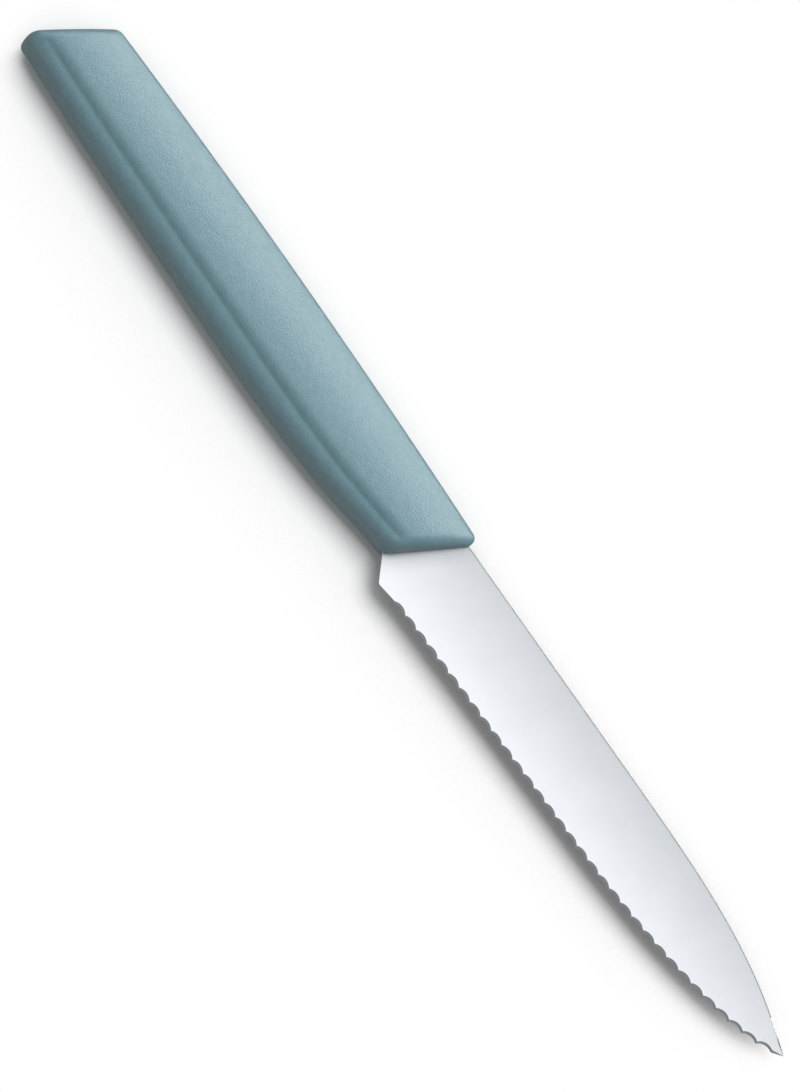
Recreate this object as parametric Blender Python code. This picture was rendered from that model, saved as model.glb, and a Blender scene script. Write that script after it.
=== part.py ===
"""Serrated paring knife: a scalloped steel blade whose tang is moulded into a plastic handle.

Both pieces are modelled in the blade's own plane. X runs from the butt to the point with 0 where
the middle of the handle's front end is, Y runs towards the spine, and Z is square to the steel.
The finished knife is then rolled about X and set down the way it lies on a table, resting on the
flat of its handle.
"""

import math

import bmesh
import bpy
import numpy as np
from mathutils import Vector
from mathutils.geometry import interpolate_bezier

MM = 0.001

# Blade, seen from the side
BLADE_LENGTH = 100.1 * MM
SPINE_HEIGHT = 6.07 * MM
SPINE_SLOPE = 0.0051
SPINE_FALL_LENGTH = 53.8 * MM
SPINE_FALL_POWER = 3.46
POINT_HEIGHT = 0.33 * MM
EDGE_DEPTH = 9.85 * MM
EDGE_SLOPE = 0.0306
EDGE_SWEEP_LENGTH = 44.6 * MM
EDGE_SWEEP_ANGLE = math.radians(80.4)
HEEL_POSITION = -0.2 * MM
HEEL_ANGLE = math.radians(43)
HEEL_RADIUS = 0.6 * MM
SPINE_STEPS = 28
EDGE_SAMPLES = 2000

# Scallops along the cutting edge, hollow ground from the left-hand side only
PLAIN_HEEL_LENGTH = 3.8 * MM
PLAIN_POINT_LENGTH = 2.2 * MM
SCALLOP_PITCH = 2.9 * MM
SCALLOP_DEPTH = 0.52 * MM
SCALLOP_STEPS = 8
GRIND_WIDTH = 1.6 * MM
GRIND_HOLLOW = 0.06 * MM
GRIND_SHARE_NEAR_POINT = 0.3
HEEL_GRIND_WIDTH = 0.5 * MM
LAND = 0.05 * MM

# Fine bevel on the right-hand face, and the eased corners of the spine and the heel
BEVEL_WIDTH = 0.42 * MM
BEVEL_ANGLE = math.radians(23.3)
SPINE_EASE = 0.25 * MM
LEAST_MITRE = 0.8
GRIND_ROWS = 3
WALL_ROWS = 1
BEVEL_ROWS = 1

# Steel thickness: parallel tang, then flat faces that thin towards the edge and the point
STOCK_THICKNESS = 1.5 * MM
EDGE_THICKNESS = 0.5 * MM
POINT_THICKNESS = 0.6 * MM
PLUNGE_SETBACK = 0.4 * MM
PLUNGE_LENGTH = 2.0 * MM

# Tang, the part of the blade that is inside the handle
TANG_LENGTH = 80.0 * MM
TANG_TOP = 4.6 * MM
TANG_BOTTOM = 4.8 * MM
TANG_END_TOP = 3.2 * MM
TANG_END_BOTTOM = 3.8 * MM
TANG_END_RADIUS = 2.6 * MM
TANG_SHOULDER_DEPTH = 4.0 * MM
TANG_FILLET = 0.8 * MM
TANG_HOLE_RADIUS = 2.3 * MM
TANG_HOLE_HEIGHT = -0.4 * MM
TANG_HOLE_POSITIONS = (-17.0 * MM, -41.0 * MM, -65.0 * MM)

# Handle, seen from the side
HANDLE_LENGTH = 102.1 * MM
FRONT_SLOPE = 0.574
BUTT_SLOPE = 0.588
HANDLE_TOP = 8.39 * MM
HANDLE_TOP_APEX = -46.9 * MM
HANDLE_TOP_RADIUS = 1270.0 * MM
BELLY_WIDEST = (-40.4 * MM, -8.83 * MM)
BELLY_FRONT_HEIGHT = -5.86 * MM
BELLY_FRONT_SLOPE = 0.076
BELLY_FRONT_PULL = 14.7 * MM
BELLY_HUMP_PULL = 25.75 * MM
BELLY_BUTT_HEIGHT = -6.97 * MM
BELLY_BUTT_SLOPE = 0.083
BELLY_BUTT_PULL = 12.4 * MM
BELLY_REAR_PULL = 1.5 * MM
FRONT_TOP_CORNER = 1.3 * MM
FRONT_BELLY_CORNER = 1.0 * MM
BUTT_TOP_CORNER = 1.4 * MM
BUTT_BELLY_CORNER = 1.3 * MM
FRONT_RIM_LENGTH = 2.1 * MM
FRONT_THINNING = 0.5
BUTT_RIM_LENGTH = 1.5 * MM
BUTT_THINNING = 0.25

# Handle, across its section: a crowned face, a shoulder that falls into a crease, and a full belly
CROWN_HEIGHT = 6.1 * MM
CROWN_RADIUS = 26.6 * MM
CROWN_PLACE = -5.5 * MM
REST_ANGLE = math.radians(12)
REST_FLAT_WIDTH = 3.0 * MM
LEAST_FACE_STEP = 0.3 * MM
TOP_EDGE_RADIUS = 1.2 * MM
CREASE_PLACE = 0.2
CREASE_DEPTH = 0.8 * MM
CREASE_FADE_LENGTH = 4.0 * MM
SHOULDER_WIDTH = 2.6 * MM
SHOULDER_CURL = 3.0
BELLY_FULLNESS = 1.25
BELLY_POWER = 3.0
LEAST_BELLY_WIDTH = 1.2 * MM
BODY_STATIONS = 22
BELLY_LINE_STEPS = 40
CROSSING_ROUNDS = 6
RIM_STEPS = 5
CORNER_STEPS = 4
TOP_EDGE_STEPS = 4
FACE_STEPS_TOP = 4
FACE_STEPS_BELLY = 2
SHOULDER_STEPS = 5
BELLY_STEPS = 8

# Smallest distances that count, and the height of the band that holds the scallops
EDGE_BAND = 1.04 * MM
WELD_DISTANCE = 0.0001 * MM
SLOPE_REACH = 0.1 * MM

# Between the tang and the plastic round it
CLEARANCE = 0.3 * MM
PAST_FRONT = 4.2 * MM
PIN_ROOT = 0.5 * MM
ROUND_SIDES = 32
SMOOTH_ANGLE = math.radians(32)

# Finishes
STEEL_COLOUR = (0.62, 0.63, 0.65, 1.0)
STEEL_ROUGHNESS = 0.32
PLASTIC_COLOUR = (0.27, 0.40, 0.43, 1.0)
PLASTIC_ROUGHNESS = 0.6


def clear_scene():
    """Empties the scene."""
    for thing in list(bpy.data.objects):
        bpy.data.objects.remove(thing, do_unlink=True)


def material(name, colour, roughness, metallic):
    """A plain finish with one colour."""
    finish = bpy.data.materials.new(name)
    finish.use_nodes = True
    shader = finish.node_tree.nodes["Principled BSDF"]
    shader.inputs["Base Color"].default_value = colour
    shader.inputs["Roughness"].default_value = roughness
    shader.inputs["Metallic"].default_value = metallic
    finish.diffuse_color = colour
    return finish


def add_object(name, bm, finish=None):
    """Turns a bmesh into an object with smooth round faces."""
    bmesh.ops.recalc_face_normals(bm, faces=bm.faces)
    mesh = bpy.data.meshes.new(name)
    bm.to_mesh(mesh)
    bm.free()
    mesh.shade_smooth()
    mesh.set_sharp_from_angle(angle=SMOOTH_ANGLE)
    if finish:
        mesh.materials.append(finish)
    thing = bpy.data.objects.new(name, mesh)
    bpy.context.scene.collection.objects.link(thing)
    return thing


def hide_cutter(thing):
    """Marks an object that only shapes another one."""
    thing.hide_render = True
    thing.display_type = "WIRE"


def combine(target, tool, operation):
    """Cuts a tool out of a piece, or joins it to the piece."""
    change = target.modifiers.new(tool.name, "BOOLEAN")
    change.operation = operation
    change.object = tool
    change.solver = "EXACT"
    hide_cutter(tool)


def rounded(corners, steps):
    """The outline through (x, y, radius) corners, each with an arc where its radius isn't 0."""
    outline = []
    count = len(corners)
    for index, (x, y, radius) in enumerate(corners):
        corner = Vector((x, y))
        if radius == 0:
            outline.append(corner)
            continue
        back = (Vector(corners[index - 1][:2]) - corner).normalized()
        ahead = (Vector(corners[(index + 1) % count][:2]) - corner).normalized()
        half = back.angle(ahead) / 2
        centre = corner + (back + ahead).normalized() * radius / math.sin(half)
        start = corner + back * radius / math.tan(half) - centre
        end = corner + ahead * radius / math.tan(half) - centre
        sweep = start.angle_signed(end)
        for step in range(steps + 1):
            turned = start.copy()
            angle = -sweep * step / steps
            turned.x = start.x * math.cos(angle) - start.y * math.sin(angle)
            turned.y = start.x * math.sin(angle) + start.y * math.cos(angle)
            outline.append(centre + turned)
    return outline


def grown(outline, distance):
    """An anticlockwise outline with every side moved outwards by one distance."""
    moved = []
    count = len(outline)
    for index, point in enumerate(outline):
        before = (point - outline[index - 1]).normalized()
        after = (outline[(index + 1) % count] - point).normalized()
        out_before = Vector((before.y, -before.x))
        out_after = Vector((after.y, -after.x))
        mitre = (out_before + out_after) / (1 + out_before.dot(out_after))
        moved.append(point + mitre * distance)
    return moved


def spine_line(x):
    """Height of the blade's spine: almost straight, then falling away to the point."""
    fallen = max(0.0, (x - BLADE_LENGTH + SPINE_FALL_LENGTH) / SPINE_FALL_LENGTH)
    drop = SPINE_HEIGHT + SPINE_SLOPE * BLADE_LENGTH - POINT_HEIGHT
    return SPINE_HEIGHT + SPINE_SLOPE * x - drop * fallen ** SPINE_FALL_POWER


def edge_line(x):
    """Height of the line through the tips of the scallops, which sweeps up to the point."""
    swept = max(0.0, (x - BLADE_LENGTH + EDGE_SWEEP_LENGTH) / EDGE_SWEEP_LENGTH)
    swept = min(swept, 1.0)
    rise = EDGE_DEPTH - EDGE_SLOPE * BLADE_LENGTH + POINT_HEIGHT
    full = 1 - math.cos(EDGE_SWEEP_ANGLE)
    arc = 1 - math.sqrt(1 - (math.sin(EDGE_SWEEP_ANGLE) * swept) ** 2)
    return EDGE_SLOPE * x - EDGE_DEPTH + rise * arc / full


def edge_inward(x):
    """Direction from the cutting edge into the steel."""
    slope = (edge_line(x) - edge_line(x - SLOPE_REACH)) / SLOPE_REACH
    return Vector((-slope, 1.0)).normalized()


def steel_half(x, y):
    """Half the steel's thickness: parallel in the tang, flat tapering faces in the blade."""
    across = (STOCK_THICKNESS - EDGE_THICKNESS) / 2 / (SPINE_HEIGHT + EDGE_DEPTH)
    at_point = STOCK_THICKNESS / 2 + across * (POINT_HEIGHT - SPINE_HEIGHT)
    along = (POINT_THICKNESS / 2 - at_point) / BLADE_LENGTH
    blade = STOCK_THICKNESS / 2 + across * (y - SPINE_HEIGHT) + along * x
    ahead = x - FRONT_SLOPE * y
    share = (ahead + PLUNGE_SETBACK + PLUNGE_LENGTH) / PLUNGE_LENGTH
    share = min(1.0, max(0.0, share))
    return STOCK_THICKNESS / 2 * (1 - share) + blade * share


def scallop_tips():
    """Tips of the scallops, evenly spaced along the cutting edge."""
    start = HEEL_POSITION + PLAIN_HEEL_LENGTH
    places = np.linspace(start, BLADE_LENGTH, EDGE_SAMPLES)
    heights = np.array([edge_line(x) for x in places])
    walked = np.concatenate(([0.0], np.cumsum(np.hypot(np.diff(places), np.diff(heights)))))
    serrated = walked[-1] - PLAIN_POINT_LENGTH
    count = max(1, round(serrated / SCALLOP_PITCH))
    stops = np.interp(np.linspace(0.0, serrated, count + 1), walked, places)
    return [Vector((x, edge_line(x))) for x in stops]


def scallop(start, end):
    """Points along one hollow arc between two tips, without its last point."""
    chord = end - start
    radius = (chord.length ** 2 / 4 + SCALLOP_DEPTH ** 2) / (2 * SCALLOP_DEPTH)
    inward = Vector((-chord.y, chord.x)).normalized()
    centre = (start + end) / 2 + inward * (SCALLOP_DEPTH - radius)
    half = math.asin(min(1.0, chord.length / 2 / radius))
    points = []
    for step in range(SCALLOP_STEPS):
        angle = half * (2 * step / SCALLOP_STEPS - 1)
        points.append(centre + chord.normalized() * radius * math.sin(angle)
                      + inward * radius * math.cos(angle))
    return points


def serrated_edge():
    """The cutting edge from the first scallop to just before the point."""
    tips = scallop_tips()
    points = []
    for start, end in zip(tips, tips[1:]):
        points += scallop(start, end)
    return points + [tips[-1]]


def heel_top():
    """Where the sloping heel meets the tang's lower side, inside the handle."""
    drop = EDGE_DEPTH - TANG_BOTTOM
    return HEEL_POSITION - drop / math.tan(HEEL_ANGLE)


def shoulder():
    """Where the spine ends inside the handle and steps down to the tang."""
    return FRONT_SLOPE * SPINE_HEIGHT - TANG_SHOULDER_DEPTH


def tang_corners():
    """Corners of the tang seen from the right, anticlockwise from its upper front one."""
    lower_front = (heel_top(), -TANG_BOTTOM, TANG_FILLET)
    lower_end = (-TANG_LENGTH, -TANG_END_BOTTOM, TANG_END_RADIUS)
    upper_end = (-TANG_LENGTH, TANG_END_TOP, TANG_END_RADIUS)
    upper_front = (shoulder(), TANG_TOP, 0)
    upper_shoulder = (shoulder(), SPINE_HEIGHT, 0)
    return [upper_shoulder, upper_front, upper_end, lower_end, lower_front]


def blade_outline():
    """The whole blank seen from the right, anticlockwise from the heel."""
    heel = (HEEL_POSITION, edge_line(HEEL_POSITION), HEEL_RADIUS)
    first_tip = scallop_tips()[0]
    tang = tang_corners()
    guide = tang + [heel, (first_tip.x, first_tip.y, 0)]
    back = rounded(guide, CORNER_STEPS)[:-1]
    spine = []
    for step in range(SPINE_STEPS):
        share = step / SPINE_STEPS
        x = BLADE_LENGTH + (shoulder() - BLADE_LENGTH) * share
        spine.append(Vector((x, spine_line(x))))
    back[0] = Vector((shoulder(), spine_line(shoulder())))
    return serrated_edge() + spine + back


def on_edge(point):
    """Whether a point of the outline is on the cutting edge, the plain heel part included."""
    past_heel = point.x > HEEL_POSITION + HEEL_RADIUS / 2
    low = point.y < edge_line(point.x) + EDGE_BAND
    return past_heel and low and point.x < BLADE_LENGTH - PLAIN_POINT_LENGTH / 2


def most_inset(point, usual):
    """The widest that a bevel may be at a point, because the blade narrows to its point."""
    if point.x < 0:
        return usual
    height = spine_line(point.x) - edge_line(point.x)
    return min(usual, GRIND_SHARE_NEAR_POINT * max(height, 0.0))


def grind_width(x):
    """Width of the grind on the left-hand side, narrow along the plain heel."""
    along = (x - HEEL_POSITION) / PLAIN_HEEL_LENGTH
    blend = min(1.0, max(0.0, along)) ** 4
    return HEEL_GRIND_WIDTH + (GRIND_WIDTH - HEEL_GRIND_WIDTH) * blend


def rim_place(point, row):
    """How far a row of the steel's rim lies inside the outline, and how high in the steel.

    Rows count up from the left-hand side. The height is the share of the way up from the
    left-hand side to the right-hand one, and a distance added to that.
    """
    below = (GRIND_ROWS - row) / GRIND_ROWS
    above = (row - GRIND_ROWS - WALL_ROWS) / BEVEL_ROWS
    if not on_edge(point):
        ease = most_inset(point, SPINE_EASE)
        if above >= 0:
            return ease * above, 1.0, ease * (above - 1)
        bend = math.pi / 2 * below
        return ease * (1 - math.cos(bend)), 0.0, ease * (1 - math.sin(bend))
    bevel = most_inset(point, BEVEL_WIDTH)
    drop = bevel * math.tan(BEVEL_ANGLE)
    if above >= 0:
        return bevel * above, 1.0, drop * (above - 1)
    hollow = GRIND_HOLLOW * 4 * below * (1 - below)
    inset = most_inset(point, grind_width(point.x)) * below
    return inset, 1 - below, hollow - (drop + LAND) * (1 - below)


def ring_of(verts):
    """The vertices of one closed ring in order, anticlockwise seen from the right."""
    members = set(verts)
    ring = [verts[0]]
    seen = {verts[0]}
    while True:
        onward = [edge.other_vert(ring[-1]) for edge in ring[-1].link_edges]
        onward = [vert for vert in onward if vert in members and vert not in seen]
        if not onward:
            break
        ring.append(onward[0])
        seen.add(onward[0])
    area = sum(a.co.x * b.co.y - b.co.x * a.co.y for a, b in zip(ring, ring[1:] + ring[:1]))
    return ring if area > 0 else ring[::-1]


def inward_direction(ring, index):
    """Direction from a point of the outline into the steel, lengthened at corners."""
    point = ring[index].co.xy
    if on_edge(point):
        return edge_inward(point.x)
    before = (point - ring[index - 1].co.xy).normalized()
    after = (ring[(index + 1) % len(ring)].co.xy - point).normalized()
    in_before = Vector((-before.y, before.x))
    in_after = Vector((-after.y, after.x))
    return (in_before + in_after) / max(1 + in_before.dot(in_after), LEAST_MITRE)


def steel_sheet(outline):
    """A sheet on an outline, raised by one metre, divided where the steel starts to taper."""
    bm = bmesh.new()
    bm.faces.new([bm.verts.new((point.x, point.y, 0.0)) for point in outline])
    cut_normal = Vector((1.0, -FRONT_SLOPE, 0.0)).normalized()
    for setback in (PLUNGE_SETBACK, PLUNGE_SETBACK + PLUNGE_LENGTH):
        parts = bm.verts[:] + bm.edges[:] + bm.faces[:]
        bmesh.ops.bisect_plane(bm, geom=parts, dist=WELD_DISTANCE, plane_co=(-setback, 0, 0),
                               plane_no=cut_normal)
    raised = bmesh.ops.extrude_face_region(bm, geom=bm.faces[:], use_keep_orig=True)
    upper = [part for part in raised["geom"] if isinstance(part, bmesh.types.BMVert)]
    bmesh.ops.translate(bm, verts=upper, vec=(0.0, 0.0, 1.0))
    return bm


def ground_steel():
    """The blank with its hollow-ground scallops, its fine bevel and its eased corners."""
    bm = steel_sheet(blade_outline())
    walls = [edge for edge in bm.edges if edge.verts[0].co.z != edge.verts[1].co.z]
    last_row = GRIND_ROWS + WALL_ROWS + BEVEL_ROWS
    bmesh.ops.subdivide_edges(bm, edges=walls, cuts=last_row - 1)
    rows = [[] for _ in range(last_row + 1)]
    for vert in bm.verts:
        rows[round(vert.co.z * last_row)].append(vert)
    ring = ring_of(rows[1])
    inward = {tuple(vert.co.xy): inward_direction(ring, i) for i, vert in enumerate(ring)}
    for row, verts in enumerate(rows):
        for vert in verts:
            inset, share, rise = rim_place(vert.co.xy, row)
            moved = vert.co.xy + inward[tuple(vert.co.xy)] * inset
            half = steel_half(moved.x, moved.y)
            vert.co = (moved.x, moved.y, half * (2 * share - 1) + rise)
    return bm


def pocket_solid():
    """The hollow for the steel, with a clearance on all sides."""
    bm = steel_sheet(pocket_outline())
    for vert in bm.verts:
        half = steel_half(vert.co.x, vert.co.y) + CLEARANCE
        vert.co.z = half if vert.co.z > 0 else -half
    return bm


def round_bars(radius, half_length):
    """Three round bars square to the steel, one at each hole of the tang."""
    bm = bmesh.new()
    for place in TANG_HOLE_POSITIONS:
        bar = bmesh.ops.create_cone(bm, cap_ends=True, segments=ROUND_SIDES, radius1=radius,
                                    radius2=radius, depth=2 * half_length)
        bmesh.ops.translate(bm, verts=bar["verts"], vec=(place, TANG_HOLE_HEIGHT, 0))
    return bm


def make_blade():
    """The blade with its tang and the tang's holes."""
    steel = material("satin_steel", STEEL_COLOUR, STEEL_ROUGHNESS, 1.0)
    blade = add_object("blade", ground_steel(), steel)
    holes = add_object("tang_holes", round_bars(TANG_HOLE_RADIUS, STOCK_THICKNESS))
    combine(blade, holes, "DIFFERENCE")
    return blade


def top_line(x):
    """Height of the handle's top edge, a long shallow arc."""
    return HANDLE_TOP - (x - HANDLE_TOP_APEX) ** 2 / (2 * HANDLE_TOP_RADIUS)


def belly_curve():
    """Points of the handle's belly line: two smooth spans that meet where it is deepest."""
    widest = Vector((*BELLY_WIDEST, 0.0))
    butt = Vector((-HANDLE_LENGTH, BELLY_BUTT_HEIGHT, 0.0))
    front = Vector((0.0, BELLY_FRONT_HEIGHT, 0.0))
    butt_pull = butt + Vector((1.0, -BELLY_BUTT_SLOPE, 0.0)) * BELLY_BUTT_PULL
    rear_pull = widest - Vector((BELLY_REAR_PULL, 0.0, 0.0))
    hump_pull = widest + Vector((BELLY_HUMP_PULL, 0.0, 0.0))
    front_pull = front - Vector((1.0, BELLY_FRONT_SLOPE, 0.0)) * BELLY_FRONT_PULL
    rear = interpolate_bezier(butt, butt_pull, rear_pull, widest, BELLY_LINE_STEPS)
    fore = interpolate_bezier(widest, hump_pull, front_pull, front, BELLY_LINE_STEPS)
    return rear + fore[1:]


def belly_line(x, curve):
    """Height of the handle's belly at a place along it, straight on beyond the butt."""
    return float(np.interp(x, [point.x for point in curve], [point.y for point in curve]))


def corner_inset(depth, radius, slope):
    """How far a rounded corner has drawn a side in, at a depth behind a sloping end.

    The slope is positive where the corner is a sharp one.
    """
    end_sine = 1 / math.hypot(1.0, slope)
    reach = radius / end_sine + slope * radius
    if depth >= reach:
        return 0.0
    middle = slope * (depth - reach) - radius
    square = slope * slope + 1
    root = math.sqrt(max(0.0, middle * middle - square * (depth - reach) ** 2))
    return (-middle - root) / square


def rim_share(depth, length, slope, thinning):
    """Share of the thickness that a rounded rim leaves, at a depth behind a sloping end."""
    short = max(0.0, 1 - depth / math.hypot(1.0, slope) / length)
    return 1 - thinning * (1 - math.sqrt(1 - short ** 2))


def end_depths(rim_length, corner_radius, slope):
    """Depths behind one end at which the handle has a section, closest together at its rim."""
    stretch = math.hypot(1.0, slope)
    depths = []
    for step in range(RIM_STEPS + 1):
        angle = math.pi / 2 * step / RIM_STEPS
        depths.append(rim_length * (1 - math.cos(angle)) * stretch)
    reach = corner_radius * (stretch + slope)
    for step in range(1, CORNER_STEPS + 1):
        depth = reach * (1 - math.cos(math.pi / 2 * step / CORNER_STEPS))
        if depth > depths[-1] + rim_length / RIM_STEPS:
            depths.append(depth)
    return depths


def rest_reach():
    """Distance from the centre of the crown's arc to the flat that the knife rests on."""
    return math.sqrt(CROWN_RADIUS ** 2 - (REST_FLAT_WIDTH / 2) ** 2)


def crown(y):
    """Height of the crowned face above the blade's plane, cut flat where the knife rests."""
    across = y - CROWN_PLACE
    round_height = math.sqrt(CROWN_RADIUS ** 2 - across ** 2)
    flat_height = (rest_reach() - across * math.sin(REST_ANGLE)) / math.cos(REST_ANGLE)
    return CROWN_HEIGHT - CROWN_RADIUS + min(round_height, flat_height)


def spread(start, end, steps):
    """Even values after start, up to and with end."""
    return [start + (end - start) * step / steps for step in range(1, steps + 1)]


def belly_side(foot, foot_height, cut):
    """The full belly, from the foot of the crease round to the blade's plane."""
    half_width = BELLY_FULLNESS * (foot - cut)
    middle = cut + half_width
    share = (middle - foot) / half_width
    full_height = foot_height / (1 - share ** BELLY_POWER) ** (1 / BELLY_POWER)
    points = []
    for angle in spread(math.asin(share ** (BELLY_POWER / 2)), math.pi / 2, BELLY_STEPS):
        y = middle - half_width * math.sin(angle) ** (2 / BELLY_POWER)
        height = full_height * max(0.0, math.cos(angle)) ** (2 / BELLY_POWER)
        points.append((y, height))
    return points


def face_places(face_top, shoulder_top):
    """Places of the crowned face's points, with the flat that it rests on between two of them."""
    rest = CROWN_PLACE + rest_reach() * math.sin(REST_ANGLE)
    half_flat = REST_FLAT_WIDTH / 2 * math.cos(REST_ANGLE)
    flat_belly = max(rest - half_flat, shoulder_top + LEAST_FACE_STEP)
    flat_top = min(max(rest + half_flat, flat_belly + LEAST_FACE_STEP),
                   face_top - LEAST_FACE_STEP)
    places = spread(face_top, flat_top, FACE_STEPS_TOP) + [flat_belly]
    return places + spread(flat_belly, shoulder_top, FACE_STEPS_BELLY)


def half_section(bottom, cut, top, crease_depth):
    """One side of the handle's section as (y, height) from the top edge to the belly."""
    edge_y = top - TOP_EDGE_RADIUS
    reach = CROWN_RADIUS - TOP_EDGE_RADIUS
    lean = math.asin((edge_y - CROWN_PLACE) / reach)
    edge_z = CROWN_HEIGHT - CROWN_RADIUS + reach * math.cos(lean)
    points = [(top, 0.0), (top, edge_z)]
    for angle in spread(math.pi / 2, lean, TOP_EDGE_STEPS):
        points.append((edge_y + TOP_EDGE_RADIUS * math.sin(angle),
                       edge_z + TOP_EDGE_RADIUS * math.cos(angle)))
    foot = max(bottom + CREASE_PLACE * (top - bottom), cut + LEAST_BELLY_WIDTH)
    shoulder_top = foot + SHOULDER_WIDTH
    points += [(y, crown(y)) for y in face_places(points[-1][0], shoulder_top)]
    for share in spread(0.0, 1.0, SHOULDER_STEPS):
        y = shoulder_top - SHOULDER_WIDTH * share
        points.append((y, crown(y) - crease_depth * share ** SHOULDER_CURL))
    return points + belly_side(foot, points[-1][1], cut)


def stations():
    """Each section of the handle: place on the axis, slope, and depths behind both ends."""
    front = [-depth for depth in end_depths(FRONT_RIM_LENGTH, FRONT_BELLY_CORNER, FRONT_SLOPE)]
    butt = end_depths(BUTT_RIM_LENGTH, BUTT_BELLY_CORNER, BUTT_SLOPE)
    butt = [depth - HANDLE_LENGTH for depth in butt]
    places = butt + spread(butt[-1], front[-1], BODY_STATIONS) + front[-2::-1]
    rows = []
    for place in places:
        share = (place + HANDLE_LENGTH) / HANDLE_LENGTH
        slope = BUTT_SLOPE + (FRONT_SLOPE - BUTT_SLOPE) * share
        rows.append((place, slope, -place, place + HANDLE_LENGTH))
    return rows


def crossing(line, place, slope, guess):
    """Height at which a sloping section meets the top or the belly line."""
    height = guess
    for _ in range(CROSSING_ROUNDS):
        height = line(place + slope * height)
    return height


def handle_body():
    """The handle's outside: sections along it, joined side by side, and a flat cap on each end."""
    curve = belly_curve()
    bm = bmesh.new()
    rings = []
    for place, slope, behind_front, behind_butt in stations():
        bottom = crossing(lambda x: belly_line(x, curve), place, slope, BELLY_FRONT_HEIGHT)
        top = crossing(top_line, place, slope, HANDLE_TOP)
        cut = bottom + corner_inset(behind_front, FRONT_BELLY_CORNER, -FRONT_SLOPE)
        cut += corner_inset(behind_butt, BUTT_BELLY_CORNER, BUTT_SLOPE)
        top -= corner_inset(behind_front, FRONT_TOP_CORNER, FRONT_SLOPE)
        top -= corner_inset(behind_butt, BUTT_TOP_CORNER, -BUTT_SLOPE)
        left = rim_share(behind_front, FRONT_RIM_LENGTH, FRONT_SLOPE, FRONT_THINNING)
        left *= rim_share(behind_butt, BUTT_RIM_LENGTH, BUTT_SLOPE, BUTT_THINNING)
        fade = min(1.0, behind_front / CREASE_FADE_LENGTH, behind_butt / CREASE_FADE_LENGTH)
        fade = fade * fade * (3 - 2 * fade)
        half = half_section(bottom, cut, top, CREASE_DEPTH * fade)
        half = [(y, height * left) for y, height in half]
        section = half + [(y, -height) for y, height in half[-2:0:-1]]
        rings.append([bm.verts.new((place + slope * y, y, height)) for y, height in section])
    for near, far in zip(rings, rings[1:]):
        for sides in zip(near, near[1:] + near[:1], far[1:] + far[:1], far):
            bm.faces.new(sides)
    bm.faces.new(rings[0])
    bm.faces.new(rings[-1])
    return bm


def pocket_outline():
    """The hollow that the moulded plastic leaves for the steel, open at the handle's front."""
    ahead = FRONT_SLOPE * SPINE_HEIGHT + PAST_FRONT
    corners = tang_corners() + [(HEEL_POSITION, -EDGE_DEPTH, 0), (ahead, SPINE_HEIGHT, 0)]
    return grown(rounded(corners, CORNER_STEPS), CLEARANCE)


def make_handle():
    """The moulded handle, hollow round the tang, with its plastic set through the tang's holes."""
    plastic = material("handle_plastic", PLASTIC_COLOUR, PLASTIC_ROUGHNESS, 0.0)
    handle = add_object("handle", handle_body(), plastic)
    pocket = add_object("tang_pocket", pocket_solid())
    combine(handle, pocket, "DIFFERENCE")
    pin_half = STOCK_THICKNESS / 2 + CLEARANCE + PIN_ROOT
    pins = add_object("handle_pins", round_bars(TANG_HOLE_RADIUS - CLEARANCE, pin_half))
    combine(handle, pins, "UNION")
    return handle


def corners_in_world(things):
    """Every vertex of some finished pieces, in world space."""
    graph = bpy.context.evaluated_depsgraph_get()
    found = []
    for thing in things:
        solid = thing.evaluated_get(graph)
        mesh = solid.to_mesh()
        found += [solid.matrix_world @ vert.co for vert in mesh.vertices]
        solid.to_mesh_clear()
    return found


def lay_down(pieces):
    """Rolls the knife on to the flat of its handle and centres it on the origin, on z = 0."""
    knife = bpy.data.objects.new("knife", None)
    bpy.context.scene.collection.objects.link(knife)
    for thing in bpy.data.objects:
        if thing != knife:
            thing.parent = knife
    knife.rotation_euler.x = -REST_ANGLE
    bpy.context.view_layer.update()
    points = corners_in_world(pieces)
    low = [min(point[axis] for point in points) for axis in range(3)]
    high = [max(point[axis] for point in points) for axis in range(3)]
    knife.location = (-(low[0] + high[0]) / 2, -(low[1] + high[1]) / 2, -low[2])
    bpy.context.view_layer.update()


def main():
    clear_scene()
    lay_down([make_blade(), make_handle()])


main()
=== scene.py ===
"""Looks of a serrated paring knife: its ground steel blade, its moulded handle and a plain studio.

Both pieces are modelled in the blade's own plane. X runs from the butt to the point with 0 where
the middle of the handle's front end is, Y runs towards the spine, and Z is square to the steel.
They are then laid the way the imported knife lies, on the flat of its handle.
"""

import math

import bmesh
import bpy
import numpy as np
from bpy.props import FloatProperty, FloatVectorProperty, IntProperty, PointerProperty
from mathutils import Matrix, Vector
from mathutils.geometry import interpolate_bezier


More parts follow.
